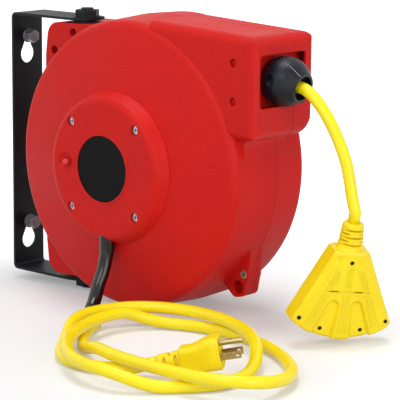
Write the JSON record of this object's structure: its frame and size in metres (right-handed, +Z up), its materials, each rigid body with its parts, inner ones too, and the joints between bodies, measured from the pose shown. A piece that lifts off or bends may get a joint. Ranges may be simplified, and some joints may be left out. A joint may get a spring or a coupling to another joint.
{
  "type": "extension cord reel",
  "caption": "Wall-mounted retractable cord reel: round spring-drum case on a swivel bracket, with a ball stop, a fan-shaped tap and a lead-in cord with a plug.",
  "frame": {"origin": "centre of the bracket plate's wall face", "axes": "+X away from the wall towards the cord outlet, -Y towards the front hub, +Z up"},
  "size_m": [0.4834, 0.33, 0.2811],
  "materials": {
    "bracket_paint": "satin black powder coat",
    "zinc_steel": "bright zinc plate",
    "steel": "plain turned steel",
    "spring_steel": "blued spring steel",
    "red_plastic": "red impact plastic with a fine spark texture",
    "button_red": "smooth moulded button",
    "label_black": "plain black disc",
    "black_plastic": "glass-filled nylon",
    "roller_nylon": "smooth nylon",
    "brass": "plain brass",
    "ball_rubber": "dark grey hard rubber",
    "sleeve_rubber": "glossy black-brown rubber",
    "cord_jacket": "smooth yellow vinyl jacket",
    "moulded_yellow": "moulded yellow vinyl"
  },
  "bodies": {
    "bracket": {"bracket": "bracket_paint", "wall_bolts": "zinc_steel", "wall_washers": "zinc_steel", "pivot_bolts": "steel", "pivot_nuts": "bracket_paint", "pivot_spacers": "bracket_paint"},
    "case": {"front_shell": "red_plastic", "back_shell": "red_plastic", "hub_cover": "red_plastic", "label_plate": "label_black", "cover_screws": "zinc_steel", "case_screws": "zinc_steel", "bushing_screws": "zinc_steel", "pivot_bushings": "black_plastic", "drum_shaft": "steel", "spring_arbor": "steel", "power_spring": "spring_steel", "brush_block": "black_plastic", "brushes": "brass", "breaker_body": "black_plastic", "roller_frame": "red_plastic", "roller_pins": "steel", "pawl_pin": "steel", "inlet_sleeve": "sleeve_rubber", "lead_cord": "cord_jacket", "lead_coil": "cord_jacket", "plug_body": "moulded_yellow", "plug_blades": "brass", "plug_ground_pin": "brass"},
    "drum": {"drum_back": "black_plastic", "drum_front": "black_plastic", "drum_screws": "steel", "drum_bushings": "brass", "ratchet_ring": "steel", "slip_ring_core": "black_plastic", "slip_rings": "brass", "wound_cord": "cord_jacket"},
    "cord": {"inner_cord": "cord_jacket", "ball_front": "ball_rubber", "ball_back": "ball_rubber", "ball_screws": "zinc_steel", "output_cord": "cord_jacket", "tap_body": "moulded_yellow", "tap_rivets": "zinc_steel", "tap_contacts": "brass"},
    "roller_top": {"roller_top": "roller_nylon"},
    "roller_bottom": {"roller_bottom": "roller_nylon"},
    "roller_front": {"roller_front": "roller_nylon"},
    "roller_rear": {"roller_rear": "roller_nylon"},
    "reset_button": {"reset_button": "button_red"},
    "pawl": {"pawl": "steel"}
  },
  "joints": [
    {"name": "case_swivel", "type": "hinge", "parent": "bracket", "child": "case", "pos_m": [0.086, 0, 0], "axis": [0, 0, 1], "range_deg": [-90, 90]},
    {"name": "drum_spin", "type": "hinge", "parent": "case", "child": "drum", "pos_m": [0.175, 0, 0], "axis": [0, 1, 0], "range_deg": [0, 50.3], "stiffness_Nm_per_rad": 0.4, "springref_deg": -143.24},
    {"name": "cord_pull", "type": "slide", "parent": "case", "child": "cord", "axis": [1, 0, 0], "range_m": [0, 0.08]},
    {"name": "roller_top_spin", "type": "hinge", "parent": "case", "child": "roller_top", "pos_m": [0.307, 0, 0.1084], "axis": [0, 1, 0], "continuous": true},
    {"name": "roller_bottom_spin", "type": "hinge", "parent": "case", "child": "roller_bottom", "pos_m": [0.307, 0, 0.0736], "axis": [0, 1, 0], "continuous": true},
    {"name": "roller_front_spin", "type": "hinge", "parent": "case", "child": "roller_front", "pos_m": [0.2896, -0.0155, 0.091], "axis": [0, 0, 1], "continuous": true},
    {"name": "roller_rear_spin", "type": "hinge", "parent": "case", "child": "roller_rear", "pos_m": [0.2896, 0.0155, 0.091], "axis": [0, 0, 1], "continuous": true},
    {"name": "reset_press", "type": "slide", "parent": "case", "child": "reset_button", "axis": [0, 1, 0], "range_m": [0, 0.0015], "stiffness_N_per_m": 600, "springref_m": -0.002},
    {"name": "pawl_swing", "type": "hinge", "parent": "case", "child": "pawl", "pos_m": [0.09231, -0.0399, 0.0301], "axis": [0, -1, 0], "range_deg": [0, 12], "stiffness_Nm_per_rad": 0.01, "springref_deg": -17.19}
  ],
  "couplings": [
    {"joint": "cord_pull", "follows": "drum_spin", "m_per_rad": 0.091}
  ]
}
